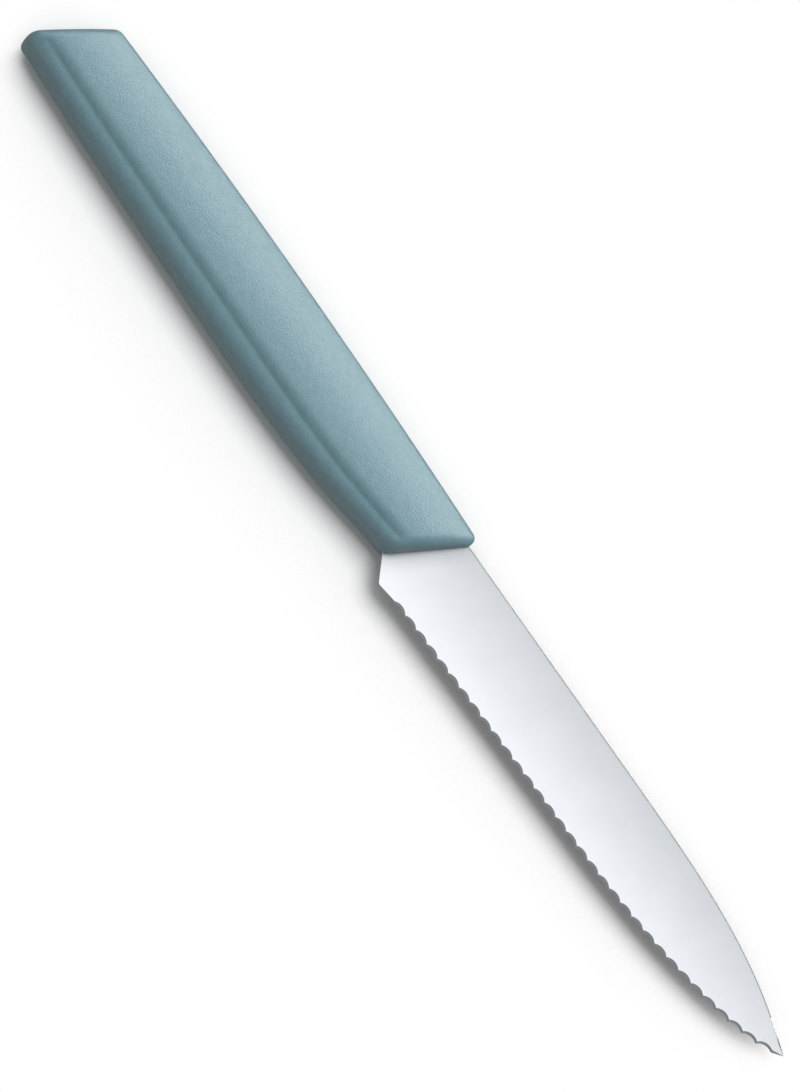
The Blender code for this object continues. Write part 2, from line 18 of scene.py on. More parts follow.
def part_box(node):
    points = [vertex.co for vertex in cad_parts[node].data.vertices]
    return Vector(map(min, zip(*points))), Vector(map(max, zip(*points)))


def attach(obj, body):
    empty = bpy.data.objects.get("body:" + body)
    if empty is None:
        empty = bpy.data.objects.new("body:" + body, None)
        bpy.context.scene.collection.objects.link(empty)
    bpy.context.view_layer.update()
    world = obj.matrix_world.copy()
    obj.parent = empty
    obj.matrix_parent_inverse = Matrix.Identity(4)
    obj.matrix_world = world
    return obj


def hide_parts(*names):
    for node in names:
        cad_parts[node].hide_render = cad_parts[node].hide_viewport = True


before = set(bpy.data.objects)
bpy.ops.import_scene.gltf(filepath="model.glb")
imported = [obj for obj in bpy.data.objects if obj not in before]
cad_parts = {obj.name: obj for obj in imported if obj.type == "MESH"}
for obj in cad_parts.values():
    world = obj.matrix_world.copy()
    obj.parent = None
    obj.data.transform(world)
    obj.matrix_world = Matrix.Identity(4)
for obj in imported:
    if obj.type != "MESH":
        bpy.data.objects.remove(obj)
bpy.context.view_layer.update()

bl_info = {
    "name": "Serrated Paring Knife",
    "version": (1, 0, 0),
    "blender": (4, 5, 0),
    "location": "View3D > Sidebar > Paring Knife",
    "description": "Builds a serrated paring knife with a moulded handle, and a studio",
    "category": "Add Mesh",
}

# Reach within which a point counts as on a line: of the outline, and of the finished steel
WELD = 1e-7
ON_LINE = 1.1e-5
DECIMALS = 7

# Rows of vertices round the steel's rim: 0 to GRIND_ROW on the left side, BEVEL_ROW to
# STEEL_ROWS on the right
STEEL_ROWS = 6
GRIND_ROW = 3
BEVEL_ROW = 4
MOST_OF_HEIGHT = 0.3
LEAST_MITRE = 0.8

# How finely lines are followed
EDGE_SAMPLES = 2000
SPINE_STEPS = 60
CORNER_STEPS = 8
BAR_SIDES = 48
BELLY_SAMPLES = 160
BELLY_FINENESS = 10
BUTT_RINGS = 8
CROSSING_ROUNDS = 8
SHARP_ANGLE = math.radians(35)

# Sockets of the Mix node for colours
MIX_FACTOR, MIX_FIRST, MIX_SECOND, MIX_RESULT = 0, 6, 7, 2

# What a noise pattern mostly ranges over, and the detail and roughness of each pattern
NOISE_RANGE = (0.3, 0.7)
SATIN_NOISE = (2.0, 0.55)
GRAIN_NOISE = (2.0, 0.5)
MOTTLE_NOISE = (3.0, 0.6)

KNIFE_SHADE_SAMPLES = 8
FLOOR_SHADE_SAMPLES = 16
WHITE = (1.0, 1.0, 1.0, 1.0)
SENSOR_WIDTH = 36.0
VIEW_DEPTH = 10.0

# How bright the surroundings are in glossy surfaces, from their dark side to their bright one
MIRRORED_LEVELS = [(0.0, 0.18), (0.12, 0.15), (0.3, 0.11), (0.5, 0.14), (0.64, 0.25),
                   (0.72, 0.35), (0.775, 0.39), (0.81, 0.55), (0.845, 0.71), (0.9, 0.8),
                   (1.0, 1.0)]


def distance(name, description, default):
    """A length in metres that shows in the sidebar."""
    return FloatProperty(name=name, description=description, default=default,
                         subtype="DISTANCE", unit="LENGTH", precision=5)


def angle(name, description, degrees):
    """An angle that shows in the sidebar."""
    return FloatProperty(name=name, description=description, default=math.radians(degrees),
                         subtype="ANGLE", unit="ROTATION")


def ratio(name, description, default):
    """A plain number that shows in the sidebar."""
    return FloatProperty(name=name, description=description, default=default, precision=4)


def count(name, description, default):
    """A whole number that shows in the sidebar."""
    return IntProperty(name=name, description=description, default=default, min=1)


def colour(name, description, default):
    """A colour that shows in the sidebar."""
    return FloatVectorProperty(name=name, description=description, default=default, size=4,
                               subtype="COLOR", min=0.0, max=1.0)


class BladeSettings(bpy.types.PropertyGroup):
    """Sizes and finish of the blade."""

    length: distance("Length", "From the middle of the handle's front to the point", 0.1001)
    spine_height: distance("Spine height", "Spine above the blade's axis at the handle", 0.00607)
    spine_slope: ratio("Spine slope", "Rise of the spine along its straight part", 0.0051)
    fall_length: distance("Fall length", "Length over which the spine falls to the point", 0.0538)
    fall_power: ratio("Fall power", "How late the spine falls", 3.46)
    point_height: distance("Point height", "Point above the blade's axis", 0.00033)
    edge_depth: distance("Edge depth", "Cutting edge below the blade's axis at the heel", 0.009848)
    edge_slope: ratio("Edge slope", "Rise of the cutting edge along its straight part", 0.0306)
    sweep_length: distance("Sweep length", "Length over which the edge sweeps up", 0.0446)
    sweep_angle: angle("Sweep angle", "How far round an ellipse the edge sweeps", 80.4)
    heel_position: distance("Heel position", "Heel's place along the axis", -0.0002)
    heel_angle: angle("Heel angle", "Slope of the heel", 43)
    heel_radius: distance("Heel radius", "Rounding of the heel's corner", 0.0006)
    plain_heel: distance("Plain heel", "Edge without scallops at the heel", 0.0038)
    plain_point: distance("Plain point", "Edge without scallops at the point", 0.0022)
    scallop_pitch: distance("Scallop pitch", "Length of one scallop", 0.0029)
    scallop_depth: distance("Scallop depth", "Depth of one scallop", 0.00052)
    scallop_steps: count("Scallop steps", "Points along one scallop", 16)
    bevel_width: distance("Bevel width", "Fine bevel along the edge, on the plain face", 0.00042)
    bevel_angle: angle("Bevel angle", "Slope of the fine bevel", 23.3)
    land: distance("Land", "Thickness left at the very edge", 0.00003)
    grind_width: distance("Grind width", "Width of the scallops' grind on the left face", 0.0016)
    heel_grind: distance("Heel grind", "Width of the grind along the plain heel", 0.0005)
    grind_hollow: distance("Grind hollow", "How far the grind is hollowed", 0.00006)
    face_hollow: distance("Face hollow", "How far the plain face is hollowed", 0.00022)
    stock: distance("Stock", "Thickness of the steel at the spine and in the tang", 0.0015)
    edge_thickness: distance("Edge thickness", "Thickness of the steel behind the edge", 0.0005)
    point_thickness: distance("Point thickness", "Thickness of the steel at the point", 0.0006)
    spine_round: distance("Spine round", "Rounding of the spine and the heel on the left", 0.00022)
    spine_bevel: distance("Spine bevel", "Bevel of the spine on the right", 0.0003)
    heel_bevel: distance("Heel bevel", "Bevel of the heel on the right", 0.00004)
    spine_angle: angle("Spine angle", "Slope of the spine's bevel", 52)
    plunge_setback: distance("Plunge setback", "End of the taper inside the handle", 0.0004)
    plunge_length: distance("Plunge length", "Length in which the taper starts", 0.002)
    tang_length: distance("Tang length", "Length of the tang", 0.08)
    tang_top: distance("Tang top", "Tang's upper side at its front", 0.0046)
    tang_bottom: distance("Tang bottom", "Tang's lower side at its front", 0.0048)
    tang_end_top: distance("Tang end top", "Tang's upper side at its end", 0.0032)
    tang_end_bottom: distance("Tang end bottom", "Tang's lower side at its end", 0.0038)
    tang_end_radius: distance("Tang end radius", "Rounding of the tang's end", 0.0026)
    tang_shoulder: distance("Tang shoulder", "Depth in the handle where the spine ends", 0.004)
    tang_fillet: distance("Tang fillet", "Rounding where the heel meets the tang", 0.0008)
    hole_radius: distance("Hole radius", "Radius of the tang's holes", 0.0023)
    hole_height: distance("Hole height", "Height of the holes on the tang", -0.0004)
    first_hole: distance("First hole", "Depth of the first hole in the handle", 0.017)
    hole_spacing: distance("Hole spacing", "From one hole to the next", 0.024)
    holes: count("Holes", "Number of holes in the tang", 3)
    face_rows: count("Face rows", "Rows of facets across the ground faces", 24)
    face_columns: count("Face columns", "Columns of facets along the ground faces", 40)
    colour: colour("Steel colour", "Colour of the satin steel", (0.865, 0.867, 0.872, 1.0))
    roughness: ratio("Steel roughness", "Roughness of the satin finish", 0.3)
    scratch_length: distance("Scratch length", "Length of the satin finish's fine lines", 0.006)
    scratch_width: distance("Scratch width", "Width of the satin finish's fine lines", 0.00006)
    scratch_bump: distance("Scratch bump", "Depth of the fine lines", 0.0000002)
    roughness_change: ratio("Roughness change", "How far the roughness goes up and down", 0.015)
    tint_change: ratio("Tint change", "How far the colour goes lighter and darker", 0.015)
    # Painted shade: an occlusion mask darkens the steel's colour near the handle and in its hollows
    shade_reach: distance("Shade reach", "How near the handle darkens the steel", 0.0035)
    painted_shade: ratio("Shade", "Share of the colour that it takes away at most", 0.5)


class HandleSettings(bpy.types.PropertyGroup):
    """Sizes and finish of the handle."""

    length: distance("Length", "Along the blade's axis, from the butt to the front", 0.10208)
    front_slope: ratio("Front slope", "Rake of the front end", 0.574)
    butt_slope: ratio("Butt slope", "Rake of the butt", 0.588)
    top: distance("Top", "Height of the top line's apex", 0.00838)
    top_apex: distance("Top apex", "Place of the top line's apex", -0.0469)
    top_radius: distance("Top radius", "Radius of the top line", 1.27)
    widest: distance("Widest place", "Where the belly is deepest", -0.0404)
    belly: distance("Belly", "Height of the belly where it is deepest", -0.008826)
    belly_front: distance("Belly front", "Height of the belly at the front", -0.00586)
    belly_front_slope: ratio("Belly front slope", "Slope of the belly at the front", 0.076)
    belly_front_pull: distance("Front pull", "Straightness of the belly at the front", 0.0147)
    belly_hump_pull: distance("Hump pull", "Straightness of the belly before its deepest", 0.02575)
    belly_butt: distance("Belly butt", "Height of the belly at the butt", -0.00697)
    belly_butt_slope: ratio("Belly butt slope", "Slope of the belly at the butt", 0.083)
    belly_butt_pull: distance("Butt pull", "Straightness of the belly at the butt", 0.0124)
    belly_rear_pull: distance("Rear pull", "Straightness of the belly behind its deepest", 0.0015)
    front_top_corner: distance("Front top corner", "Radius of this corner", 0.0013)
    front_belly_corner: distance("Front belly corner", "Radius of this corner", 0.001)
    butt_top_corner: distance("Butt top corner", "Radius of this corner", 0.0014)
    butt_belly_corner: distance("Butt belly corner", "Radius of this corner", 0.0013)
    front_rim: distance("Front rim", "Length of the front's rounded rim", 0.0021)
    front_thinning: ratio("Front thinning", "Share of the thickness that this rim takes", 0.5)
    butt_rim: distance("Butt rim", "Length of the butt's rounded rim", 0.0015)
    butt_thinning: ratio("Butt thinning", "Share of the thickness that this rim takes", 0.25)
    corner_rim: distance("Corner rim", "Least width of the belly's curve at a corner", 0.0012)
    butt_bulge: distance("Butt bulge", "How far the butt's face swells", 0.0004)
    crown: distance("Crown", "Half the handle's thickness", 0.006)
    crown_radius: distance("Crown radius", "Radius of the crowned face", 0.0266)
    crown_place: distance("Crown place", "Height at which the handle is thickest", -0.0055)
    rest_angle: angle("Rest angle", "Roll of the knife as it lies", 12)
    top_edge: distance("Top edge", "Rounding of the top edge", 0.0012)
    step_place: ratio("Step place", "Share of the width below the crease", 0.18)
    step_depth: distance("Step depth", "Depth of the crease along the face", 0.00095)
    step_width: distance("Step width", "Width of the shoulder above the crease", 0.0024)
    step_curl: ratio("Step curl", "How late the shoulder falls into the crease", 2.9)
    crease_softness: count("Crease softness", "Rounds of smoothing over the crease", 1)
    step_fade: distance("Step fade", "Length in which the crease fades at the ends", 0.004)
    fullness: ratio("Belly fullness", "How far the belly's curve starts before the crease", 1.25)
    belly_power: ratio("Belly power", "Squareness of the belly's curve, 2 for an ellipse", 3.0)
    slot_gap: distance("Slot gap", "Hairline between the steel and the plastic", 0.00003)
    colour: colour("Plastic colour", "Colour of the handle", (0.147, 0.256, 0.293, 1.0))
    roughness: ratio("Plastic roughness", "Roughness of the handle", 0.42)
    shine: ratio("Plastic shine", "Level of the handle's reflection", 0.8)
    grain: distance("Grain", "Size of the moulded grain", 0.00028)
    grain_bump: distance("Grain bump", "Depth of the moulded grain", 0.00007)
    mottle: distance("Mottle", "Size of the faint mottle", 0.0014)
    mottle_bump: distance("Mottle bump", "Depth of the faint mottle", 0.00003)
    roughness_change: ratio("Roughness change", "How far the roughness goes up and down", 0.06)
    tint_change: ratio("Tint change", "How far the colour goes lighter and darker", 0.12)
    # Painted shade: an occlusion mask darkens the plastic's colour near the steel
    shade_reach: distance("Shade reach", "How near the steel darkens the plastic", 0.0015)
    painted_shade: ratio("Shade", "Share of the colour that it takes away at most", 0.35)
    body_rings: count("Body rings", "Sections between the two ends", 56)
    rim_rings: count("Rim rings", "Sections round each rim", 10)
    corner_rings: count("Corner rings", "Sections round each corner", 12)
    face_steps: count("Face steps", "Points across the crowned face", 20)
    crease_steps: count("Crease steps", "Points across the crease", 10)
    belly_steps: count("Belly steps", "Points round half the belly", 26)
    edge_steps: count("Edge steps", "Points round the top edge", 8)


class StudioSettings(bpy.types.PropertyGroup):
    """View and light."""

    turn: angle("Turn", "How far the knife's axis dips in the picture", 54.99)
    tilt: angle("Tilt", "Lean of the camera towards the cutting edge", 3)
    centre_x: distance("Centre along", "Picture's centre along the knife's axis", -0.0032)
    centre_y: distance("Centre across", "Picture's centre across the knife's axis", -0.00324)
    picture_height: distance("Picture height", "Shown from the picture's top to bottom", 0.17669)
    camera_distance: distance("Camera distance", "From the camera to the knife", 1.2)
    floor_size: distance("Floor size", "Side of the floor", 3.0)
    floor_white: ratio("Floor white", "Brightness of the floor as the camera sees it", 0.97)
    floor_grey: ratio("Floor grey", "Brightness of the floor as it lights the knife", 0.8)
    floor_mirrored: ratio("Floor mirrored", "Brightness of the floor in glossy surfaces", 0.42)
    # These set where the floor's lit shadow gives way to painted white, by an occlusion mask
    shade_reach: distance("Shade reach", "How far away the knife still shades the floor", 0.06)
    shade_start: ratio("Shade start", "Open sky at which the floor starts to be bare", 0.543)
    shade_end: ratio("Shade end", "Open sky at which the floor is bare", 0.851)
    sky_lean: angle("Sky lean", "Lean of the open sky towards the spine's side", 12)
    light_power: ratio("Light power", "Watts of the soft light on the spine's side", 4.55)
    light_size: distance("Light size", "Side of the soft light", 0.38)
    light_distance: distance("Light distance", "From the soft light to the knife", 0.8)
    light_height: angle("Light height", "Height of the soft light above the floor", 68.5)
    bright_height: angle("Bright height", "Height of the brightest surroundings", 18)
    surroundings: ratio("Surroundings", "Brightness of the mirrored surroundings", 1.6)
    glow: ratio("Glow", "How much brighter they are low on the spine's side", 5.0)
    glow_start: ratio("Glow start", "How near to that side the glow starts", 0.78)
    glow_end: ratio("Glow end", "How near to that side the glow is full", 0.97)
    coolness: ratio("Coolness", "How blue the darker surroundings are", 0.1)
    even_light: ratio("Even light", "Brightness of the surroundings on matt surfaces", 0.27)


# Shape of the steel


def spine_line(blade, x):
    """Height of the spine: almost straight, then falling away to the point."""
    fallen = max(0.0, (x - blade.length + blade.fall_length) / blade.fall_length)
    drop = blade.spine_height + blade.spine_slope * blade.length - blade.point_height
    return blade.spine_height + blade.spine_slope * x - drop * fallen ** blade.fall_power


def edge_line(blade, x):
    """Height of the line through the tips of the scallops, which sweeps up to the point."""
    swept = (x - blade.length + blade.sweep_length) / blade.sweep_length
    swept = min(1.0, max(0.0, swept))
    rise = blade.edge_depth - blade.edge_slope * blade.length + blade.point_height
    full = 1 - math.cos(blade.sweep_angle)
    arc = 1 - math.sqrt(1 - (math.sin(blade.sweep_angle) * swept) ** 2)
    return blade.edge_slope * x - blade.edge_depth + rise * arc / full


def edge_inward(blade, x):
    """Direction from the cutting edge into the steel."""
    reach = blade.land
    slope = (edge_line(blade, x) - edge_line(blade, x - reach)) / reach
    return Vector((-slope, 1.0)).normalized()


def taper_share(blade, x, y):
    """0 in the parallel tang and 1 in the blade, with the plunge between them."""
    ahead = x - bpy.context.scene.knife_handle.front_slope * y
    share = (ahead + blade.plunge_setback + blade.plunge_length) / blade.plunge_length
    return min(1.0, max(0.0, share))


def steel_half(blade, x, y):
    """Half the steel's thickness: parallel in the tang, tapering in the blade."""
    depth = blade.spine_height + blade.edge_depth
    across = (blade.stock - blade.edge_thickness) / 2 / depth
    at_point = blade.stock / 2 + across * (blade.point_height - blade.spine_height)
    along = (blade.point_thickness / 2 - at_point) / blade.length
    tapered = blade.stock / 2 + across * (y - blade.spine_height) + along * x
    share = taper_share(blade, x, y)
    return blade.stock / 2 * (1 - share) + tapered * share


def face_height(blade, x, y):
    """Height of the plain right-hand face, which is ground slightly hollow."""
    middle = (blade.spine_height - blade.edge_depth) / 2
    reach = (blade.spine_height + blade.edge_depth) / 2
    hollow = 1 - min(1.0, abs(y - middle) / reach) ** 2
    return steel_half(blade, x, y) - blade.face_hollow * hollow * taper_share(blade, x, y)


def lengths_along(across, heights):
    """How far along a path each of its points lies."""
    steps = np.hypot(np.diff(across), np.diff(heights))
    return np.concatenate(([0.0], np.cumsum(steps)))


def scallop_tips(blade):
    """Tips of the scallops, evenly spaced along the cutting edge."""
    places = np.linspace(blade.heel_position + blade.plain_heel, blade.length, EDGE_SAMPLES)
    lengths = lengths_along(places, np.array([edge_line(blade, x) for x in places]))
    serrated = lengths[-1] - blade.plain_point
    scallops = max(1, round(serrated / blade.scallop_pitch))
    stops = np.interp(np.linspace(0.0, serrated, scallops + 1), lengths, places)
    return [Vector((x, edge_line(blade, x))) for x in stops]


def scallop(blade, start, end):
    """Points along one hollow arc between two tips, without its last point."""
    chord = end - start
    depth = blade.scallop_depth
    radius = (chord.length ** 2 / 4 + depth ** 2) / (2 * depth)
    inward = Vector((-chord.y, chord.x)).normalized()
    centre = (start + end) / 2 + inward * (depth - radius)
    half = math.asin(min(1.0, chord.length / 2 / radius))
    points = []
    for step in range(blade.scallop_steps):
        bend = half * (2 * step / blade.scallop_steps - 1)
        points.append(centre + chord.normalized() * radius * math.sin(bend)
                      + inward * radius * math.cos(bend))
    return points


def rounded(corners):
    """The outline through (x, y, radius) corners, each with an arc where its radius isn't 0."""
    outline = []
    for index, (x, y, radius) in enumerate(corners):
        corner = Vector((x, y))
        if radius == 0:
            outline.append(corner)
            continue
        back = (Vector(corners[index - 1][:2]) - corner).normalized()
        ahead = (Vector(corners[(index + 1) % len(corners)][:2]) - corner).normalized()
        half = back.angle(ahead) / 2
        centre = corner + (back + ahead).normalized() * radius / math.sin(half)
        start = corner + back * radius / math.tan(half) - centre
        end = corner + ahead * radius / math.tan(half) - centre
        sweep = start.angle_signed(end)
        for step in range(CORNER_STEPS + 1):
            turn = Matrix.Rotation(-sweep * step / CORNER_STEPS, 2)
            outline.append(centre + turn @ start)
    return outline


def mitre(before, point, after, least=0.0):
    """Direction into an anticlockwise outline at one of its points, lengthened at corners."""
    ahead = (point - before).normalized()
    onward = (after - point).normalized()
    first = Vector((-ahead.y, ahead.x))
    second = Vector((-onward.y, onward.x))
    return (first + second) / max(1 + first.dot(second), least)


def grown(outline, reach):
    """An anticlockwise outline with every side moved outwards by one distance."""
    following = outline[1:] + outline[:1]
    return [point - mitre(outline[index - 1], point, following[index]) * reach
            for index, point in enumerate(outline)]


def shoulder(blade, handle):
    """Where the spine ends inside the handle and steps down to the tang."""
    return handle.front_slope * blade.spine_height - blade.tang_shoulder


def tang_corners(blade, handle):
    """Corners of the tang seen from the right, anticlockwise from its upper front one."""
    drop = blade.edge_depth - blade.tang_bottom
    heel_top = blade.heel_position - drop / math.tan(blade.heel_angle)
    return [
        (shoulder(blade, handle), blade.spine_height, 0),
        (shoulder(blade, handle), blade.tang_top, 0),
        (-blade.tang_length, blade.tang_end_top, blade.tang_end_radius),
        (-blade.tang_length, -blade.tang_end_bottom, blade.tang_end_radius),
        (heel_top, -blade.tang_bottom, blade.tang_fillet),
    ]


def blade_outline(blade, handle):
    """The whole blank seen from the right, anticlockwise from the first scallop."""
    tips = scallop_tips(blade)
    outline = []
    for start, end in zip(tips, tips[1:]):
        outline += scallop(blade, start, end)
    outline.append(tips[-1])
    end = shoulder(blade, handle)
    for step in range(SPINE_STEPS):
        x = blade.length + (end - blade.length) * step / SPINE_STEPS
        outline.append(Vector((x, spine_line(blade, x))))
    heel = (blade.heel_position, edge_line(blade, blade.heel_position), blade.heel_radius)
    guide = tang_corners(blade, handle) + [heel, (tips[0].x, tips[0].y, 0)]
    back = rounded(guide)[:-1]
    back[0] = Vector((end, spine_line(blade, end)))
    return outline + back


def near_edge(blade, point):
    """Whether a point of the outline is on the cutting edge, the plain heel part included."""
    past_heel = point.x > blade.heel_position + blade.heel_radius / 2
    low = point.y < edge_line(blade, point.x) + 2 * blade.scallop_depth
    return past_heel and low and point.x < blade.length - blade.plain_point / 2


def row_offset(blade, point, row):
    """How far a row of the steel's rim lies inside the outline, and how high in the steel.

    The last row bounds the plain face and row 0 the left-hand one. The height is the share of
    the way from the left-hand face to the plain one, and a distance added to that.
    """
    height = spine_line(blade, point.x) - edge_line(blade, point.x)
    most = MOST_OF_HEIGHT * max(height, 0.0) if point.x > 0 else blade.grind_width
    ground = near_edge(blade, point)
    if row >= BEVEL_ROW:
        share = (row - BEVEL_ROW) / (STEEL_ROWS - BEVEL_ROW)
        if ground:
            width, slope = blade.bevel_width, blade.bevel_angle
        else:
            width = blade.spine_bevel if point.y > 0 else blade.heel_bevel
            slope = blade.spine_angle
        width = min(width, most)
        return width * share, 1.0, width * math.tan(slope) * (share - 1)
    share = (GRIND_ROW - row) / GRIND_ROW
    if not ground:
        ease = min(blade.spine_round, most)
        bend = math.pi / 2 * share
        return ease * (1 - math.cos(bend)), 0.0, ease * (1 - math.sin(bend))
    drop = min(blade.bevel_width, most) * math.tan(blade.bevel_angle)
    blend = min(1.0, max(0.0, (point.x - blade.heel_position) / blade.plain_heel))
    width = blade.heel_grind + (blade.grind_width - blade.heel_grind) * blend ** 4
    dip = blade.grind_hollow * 4 * share * (1 - share) * blend
    return min(width, most) * share, 1.0 - share, dip - (drop + blade.land) * (1 - share)


def walk_ring(verts):
    """The vertices of one closed ring in order, anticlockwise seen from above."""
    members = set(verts)
    ring = [verts[0]]
    seen = {verts[0]}
    while True:
        onward = [edge.other_vert(ring[-1]) for edge in ring[-1].link_edges]
        onward = [vert for vert in onward if vert in members and vert not in seen]
        if not onward:
            break
        ring.append(onward[0])
        seen.add(onward[0])
    pairs = zip(ring, ring[1:] + ring[:1])
    area = sum(a.co.x * b.co.y - b.co.x * a.co.y for a, b in pairs)
    return ring if area > 0 else ring[::-1]


def inward_at(blade, ring, index):
    """Direction from a point of the outline into the steel."""
    point = ring[index].co.xy
    if near_edge(blade, point):
        return edge_inward(blade, point.x)
    after = ring[(index + 1) % len(ring)].co.xy
    return mitre(ring[index - 1].co.xy, point, after, LEAST_MITRE)


def cut_lines(bm, faces, cuts, reach):
    """Cuts faces along planes, where a point within reach of a plane counts as on it."""
    for place, normal in cuts:
        parts = faces + list(dict.fromkeys(edge for face in faces for edge in face.edges))
        parts += list(dict.fromkeys(vert for face in faces for vert in face.verts))
        made = bmesh.ops.bisect_plane(bm, geom=parts, dist=reach, plane_co=place,
                                      plane_no=normal)
        faces = [part for part in made["geom"] if isinstance(part, bmesh.types.BMFace)]


def steel_sheet(outline, cuts):
    """A slab one metre high on an outline, with its two faces cut along lines."""
    bm = bmesh.new()
    bm.faces.new([bm.verts.new((point.x, point.y, 0.0)) for point in outline])
    cut_lines(bm, bm.faces[:], cuts, WELD)
    raised = bmesh.ops.extrude_face_region(bm, geom=bm.faces[:], use_keep_orig=True)
    for part in raised["geom"]:
        if isinstance(part, bmesh.types.BMVert):
            part.co.z = 1.0
    return bm


def plunge_cuts(blade, handle):
    """The two lines between which the steel goes from parallel to tapered."""
    normal = Vector((1.0, -handle.front_slope, 0.0)).normalized()
    near = blade.plunge_setback
    return [(Vector((-near, 0, 0)), normal),
            (Vector((-near - blade.plunge_length, 0, 0)), normal)]


def face_grid(blade):
    """Planes that divide the ground faces into small facets."""
    cuts = [(Vector((0, y, 0)), Vector((0, 1, 0)))
            for y in spread(blade.spine_height, -blade.edge_depth, blade.face_rows)[:-1]]
    cuts += [(Vector((x, 0, 0)), Vector((1, 0, 0)))
             for x in spread(-blade.plunge_length, blade.length, blade.face_columns)[:-1]]
    return cuts


def ground_steel(blade, handle):
    """The blade with its tang: ground faces, a fine bevel, hollow scallops and an eased spine."""
    bm = steel_sheet(blade_outline(blade, handle), plunge_cuts(blade, handle))
    walls = [edge for edge in bm.edges if abs(edge.verts[0].co.z - edge.verts[1].co.z) > 0.5]
    bmesh.ops.subdivide_edges(bm, edges=walls, cuts=STEEL_ROWS - 1)
    rows = [[] for _ in range(STEEL_ROWS + 1)]
    for vert in bm.verts:
        rows[round(vert.co.z * STEEL_ROWS)].append(vert)
    ring = walk_ring(rows[GRIND_ROW])
    inward = {tuple(vert.co.xy): inward_at(blade, ring, i) for i, vert in enumerate(ring)}
    cusps = {rounded_off(tip) for tip in scallop_tips(blade)}
    for edge in bm.edges:
        edge.smooth = not crisp(blade, edge, cusps)
    for row, verts in enumerate(rows):
        for vert in verts:
            set_in_steel(blade, vert, row, inward[tuple(vert.co.xy)])
    for level in (0.0, 1.0):
        level_faces = [face for face in bm.faces
                       if all(vert.co.z == level for vert in face.verts)]
        cut_lines(bm, level_faces, face_grid(blade), ON_LINE)
    for vert in bm.verts:
        if vert.co.z == 1.0:
            vert.co.z = face_height(blade, vert.co.x, vert.co.y)
        elif vert.co.z == 0.0:
            vert.co.z = -steel_half(blade, vert.co.x, vert.co.y)
    for face in bm.faces:
        face.smooth = True
    return bm


def rounded_off(point):
    """A point of the outline as plain numbers that can be looked up."""
    return tuple(round(value, DECIMALS) for value in point.xy)


def crisp(blade, edge, cusps):
    """Whether an edge of the unit slab becomes a sharp line of the ground edge."""
    first, last = edge.verts
    if first.co.z == last.co.z:
        row = round(first.co.z * STEEL_ROWS)
        if row in (0, STEEL_ROWS):
            return True
        middle = (first.co.xy + last.co.xy) / 2
        return row == BEVEL_ROW or row == GRIND_ROW and near_edge(blade, middle)
    return rounded_off(first.co) in cusps


def set_in_steel(blade, vert, row, inward):
    """Moves a vertex of the slab's rim to its place in the ground steel.

    The two outer rows keep their levels until the faces between them are divided.
    """
    point = vert.co.xy
    inset, share, rise = row_offset(blade, point, row)
    moved = point + inward * inset
    level = vert.co.z
    if row not in (0, STEEL_ROWS):
        low = -steel_half(blade, *moved)
        level = low + (face_height(blade, *moved) - low) * share + rise
    vert.co = (moved.x, moved.y, level)


def round_bars(blade, radius, half_length):
    """Round bars square to the steel, one at each hole of the tang."""
    bm = bmesh.new()
    for index in range(blade.holes):
        place = -blade.first_hole - blade.hole_spacing * index
        bar = bmesh.ops.create_cone(bm, cap_ends=True, segments=BAR_SIDES, radius1=radius,
                                    radius2=radius, depth=2 * half_length)
        bmesh.ops.translate(bm, verts=bar["verts"], vec=(place, blade.hole_height, 0))
    return bm


# Shape of the handle


def top_line(handle, x):
    """Height of the handle's top edge, a long shallow arc."""
    return handle.top - (x - handle.top_apex) ** 2 / (2 * handle.top_radius)


def belly_curve(handle):
    """Points of the handle's belly line: two smooth spans that meet where it is deepest."""
    widest = Vector((handle.widest, handle.belly, 0.0))
    butt = Vector((-handle.length, handle.belly_butt, 0.0))
    front = Vector((0.0, handle.belly_front, 0.0))
    butt_pull = butt + Vector((1.0, -handle.belly_butt_slope, 0.0)) * handle.belly_butt_pull
    rear_pull = widest - Vector((handle.belly_rear_pull, 0.0, 0.0))
    hump_pull = widest + Vector((handle.belly_hump_pull, 0.0, 0.0))
    front_pull = front - Vector((1.0, handle.belly_front_slope, 0.0)) * handle.belly_front_pull
    rear = interpolate_bezier(butt, butt_pull, rear_pull, widest, BELLY_SAMPLES)
    fore = interpolate_bezier(widest, hump_pull, front_pull, front, BELLY_SAMPLES)
    return rear + fore[1:]


def corner_inset(depth, radius, slope):
    """How far a rounded corner has drawn a side in, at a depth behind a sloping end.

    The slope is positive where the corner is a sharp one.
    """
    reach = radius * (math.hypot(1.0, slope) + slope)
    if depth >= reach:
        return 0.0
    middle = slope * (depth - reach) - radius
    square = slope * slope + 1
    root = math.sqrt(max(0.0, middle * middle - square * (depth - reach) ** 2))
    return (-middle - root) / square


def rim_share(depth, length, slope, thinning):
    """Share of the thickness that a rounded rim leaves, at a depth behind a sloping end."""
    short = max(0.0, 1 - depth / math.hypot(1.0, slope) / length)
    return 1 - thinning * (1 - math.sqrt(1 - short ** 2))


def end_depths(handle, rim, corner, slope):
    """Depths behind one end at which the handle has a section, closest together at its rim."""
    stretch = math.hypot(1.0, slope)
    depths = []
    for step in range(handle.rim_rings + 1):
        bend = math.pi / 2 * step / handle.rim_rings
        depths.append(rim * (1 - math.cos(bend)) * stretch)
    for step in range(1, handle.corner_rings + 1):
        bend = math.pi / 2 * step / handle.corner_rings
        depth = corner * (stretch + abs(slope)) * (1 - math.cos(bend))
        if depth > depths[-1] + rim / handle.rim_rings:
            depths.append(depth)
    return depths


def crown(handle, y):
    """Height of the crowned face above the blade's plane."""
    reach = y - handle.crown_place
    return handle.crown - handle.crown_radius + math.sqrt(handle.crown_radius ** 2 - reach ** 2)


def spread(start, end, steps):
    """Even values after start, up to and with end."""
    return [start + (end - start) * step / steps for step in range(1, steps + 1)]


